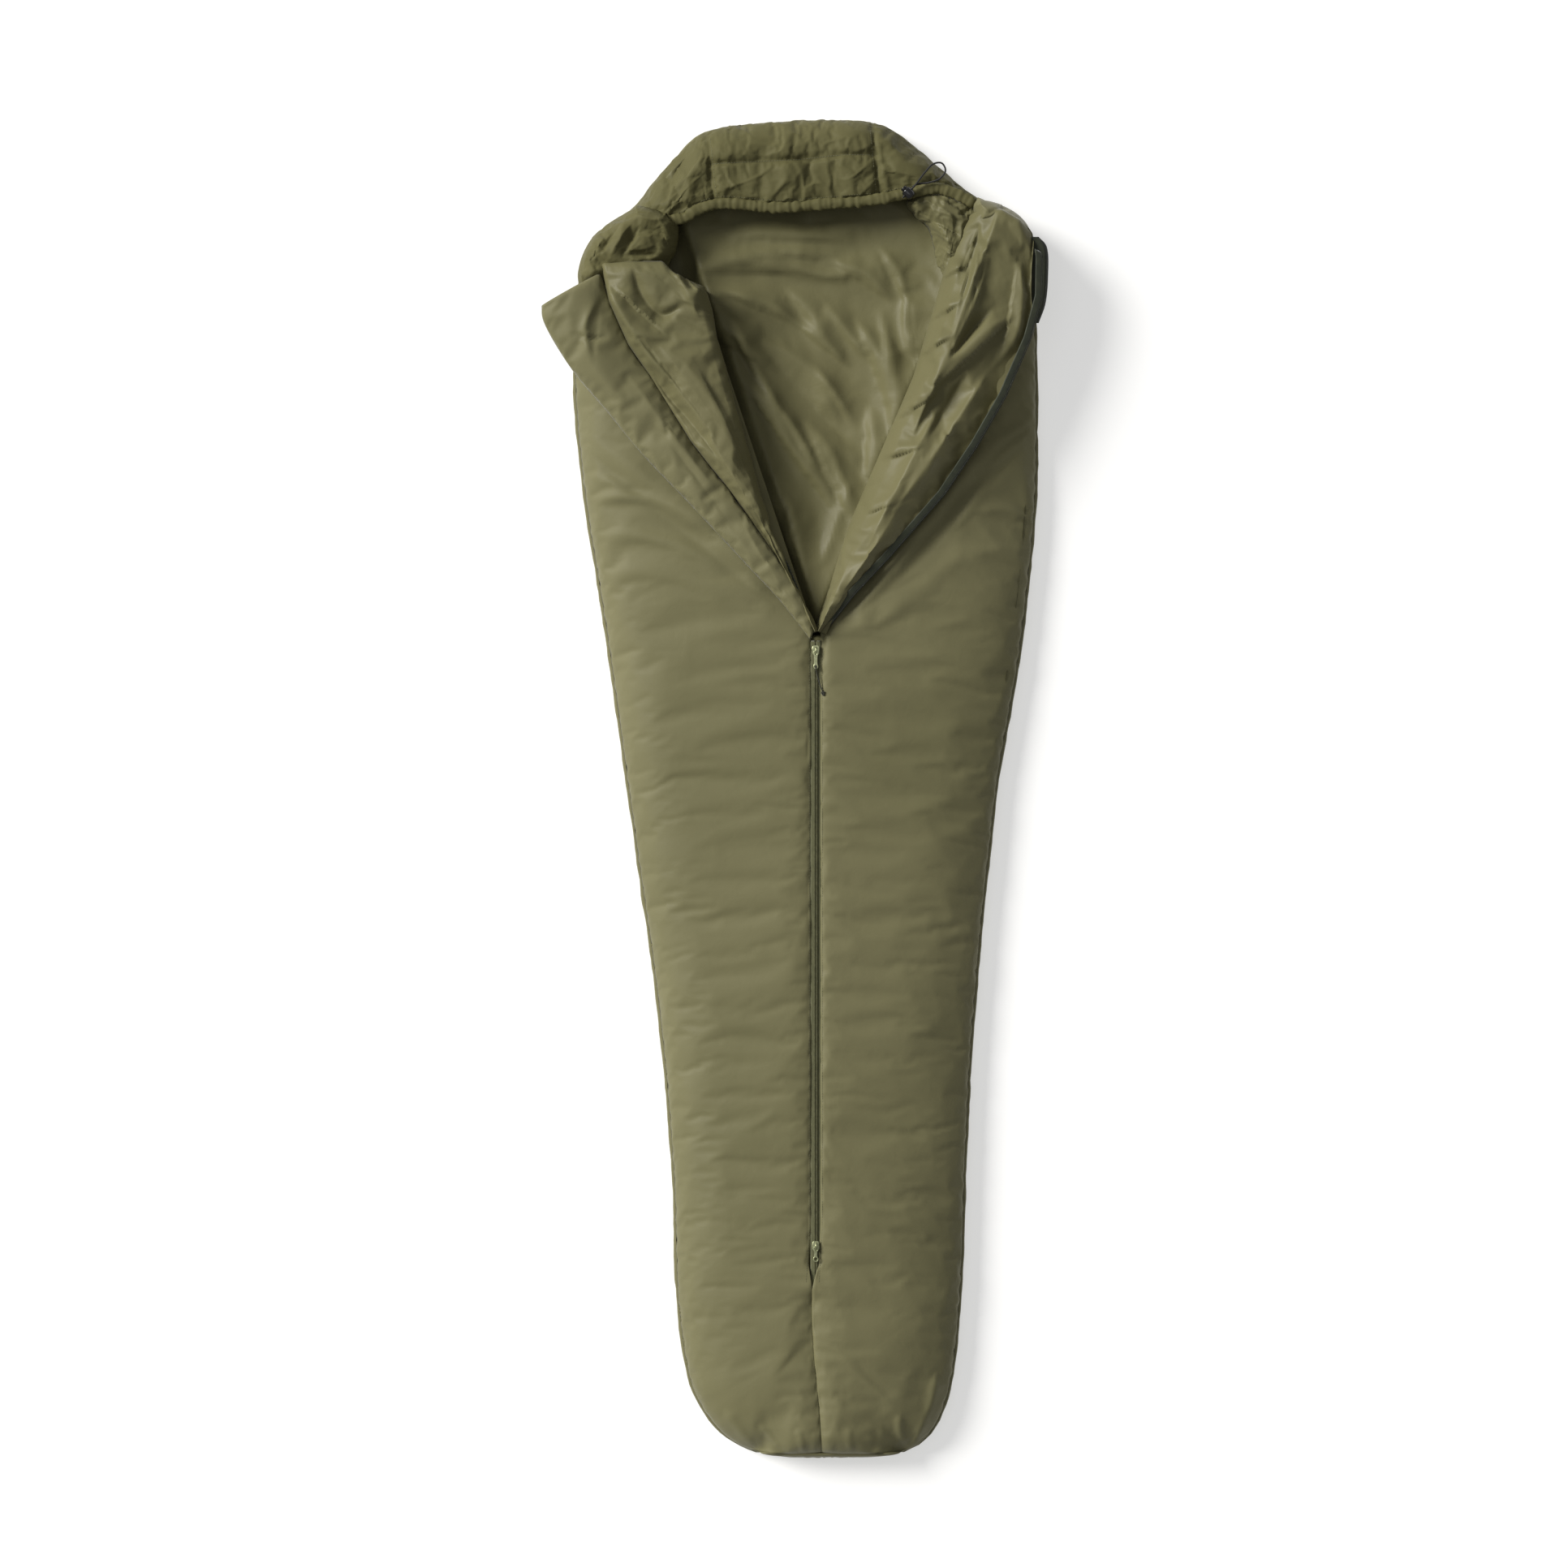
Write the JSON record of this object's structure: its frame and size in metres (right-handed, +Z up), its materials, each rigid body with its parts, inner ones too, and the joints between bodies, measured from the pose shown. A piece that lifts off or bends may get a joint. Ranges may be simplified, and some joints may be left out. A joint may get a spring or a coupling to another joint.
{
  "type": "bivy sack",
  "caption": "Insulated mummy-shaped bivy sack laid flat, with a two-way front zip, front corners folded out as lapels, and a three-panel hood with a drawcord.",
  "frame": {"origin": "on the ground under the back face, on the zip line and at half the length from foot to hood", "axes": "+Y towards the hood, +X to the right seen from above with the hood at the far end, +Z up from the ground through the back to the front"},
  "size_m": [0.827, 2.1997, 0.13],
  "materials": {
    "shell_nylon": "satin",
    "lining_nylon": "satin",
    "wadding": "matte",
    "tape": "matte",
    "coil": "satin",
    "slider_metal": "satin",
    "lock_plastic": "gloss",
    "cord": "matte"
  },
  "bodies": {
    "sack": {"back_shell": "shell_nylon", "back_wadding": "wadding", "back_lining": "lining_nylon", "front_left_shell": "shell_nylon", "front_left_wadding": "wadding", "front_left_lining": "lining_nylon", "front_right_shell": "shell_nylon", "front_right_wadding": "wadding", "front_right_lining": "lining_nylon", "zip_draft_tube": "lining_nylon", "foot_end_panel": "shell_nylon", "hood_left_shell": "shell_nylon", "hood_left_wadding": "wadding", "hood_centre_shell": "shell_nylon", "hood_centre_wadding": "wadding", "hood_right_shell": "shell_nylon", "hood_right_wadding": "wadding", "hood_lining": "lining_nylon", "hood_hem_channel": "shell_nylon", "hood_drawcord": "cord", "collar_left": "shell_nylon", "collar_right": "shell_nylon", "neck_baffle": "lining_nylon", "zip_tape_left": "tape", "zip_coil_left": "coil", "zip_tape_right": "tape", "zip_coil_right": "coil", "zip_end_stop": "slider_metal", "drawcord_loop": "cord"},
    "upper_slider": {"upper_slider_body": "slider_metal"},
    "upper_pull": {"upper_slider_pull": "slider_metal", "upper_pull_cord": "cord"},
    "lower_slider": {"lower_slider_body": "slider_metal"},
    "lower_pull": {"lower_slider_pull": "slider_metal"},
    "left_lapel": {"left_lapel_shell": "shell_nylon", "left_lapel_wadding": "wadding", "left_lapel_lining": "lining_nylon", "left_lapel_tape": "tape", "left_lapel_coil": "coil", "draft_flap": "lining_nylon"},
    "right_lapel": {"right_lapel_shell": "shell_nylon", "right_lapel_wadding": "wadding", "right_lapel_lining": "lining_nylon", "right_lapel_tape": "tape", "right_lapel_coil": "coil", "closure_tab": "tape"},
    "cord_lock": {"cord_lock_barrel": "lock_plastic"},
    "lock_button": {"cord_lock_button": "lock_plastic"}
  },
  "joints": [
    {"name": "upper_slider_travel", "type": "slide", "parent": "sack", "child": "upper_slider", "axis": [0, 1, 0], "range_m": [-0.6, 0]},
    {"name": "upper_pull_flip", "type": "hinge", "parent": "upper_slider", "child": "upper_pull", "pos_m": [0, 0.228, 0.0983], "axis": [-1, 0, 0], "range_deg": [0, 150]},
    {"name": "lower_slider_travel", "type": "slide", "parent": "sack", "child": "lower_slider", "axis": [0, 1, 0], "range_m": [0, 0.28]},
    {"name": "lower_pull_flip", "type": "hinge", "parent": "lower_slider", "child": "lower_pull", "pos_m": [0, -0.746, 0.0983], "axis": [-1, 0, 0], "range_deg": [0, 150]},
    {"name": "left_lapel_fold", "type": "hinge", "parent": "sack", "child": "left_lapel", "pos_m": [0, 0.258, 0.096], "axis": [-0.3176, 0.9482, 0], "range_deg": [0, 160]},
    {"name": "right_lapel_fold", "type": "hinge", "parent": "sack", "child": "right_lapel", "pos_m": [0.005, 0.258, 0.096], "axis": [-0.3717, -0.9284, 0], "range_deg": [0, 120]},
    {"name": "cord_lock_travel", "type": "slide", "parent": "sack", "child": "cord_lock", "axis": [0.7071, 0.7071, 0], "range_m": [0, 0.012]},
    {"name": "lock_button_press", "type": "slide", "parent": "cord_lock", "child": "lock_button", "axis": [0.7071, -0.7071, 0], "range_m": [0, 0.003], "stiffness_N_per_m": 1500, "springref_m": -0.003}
  ]
}
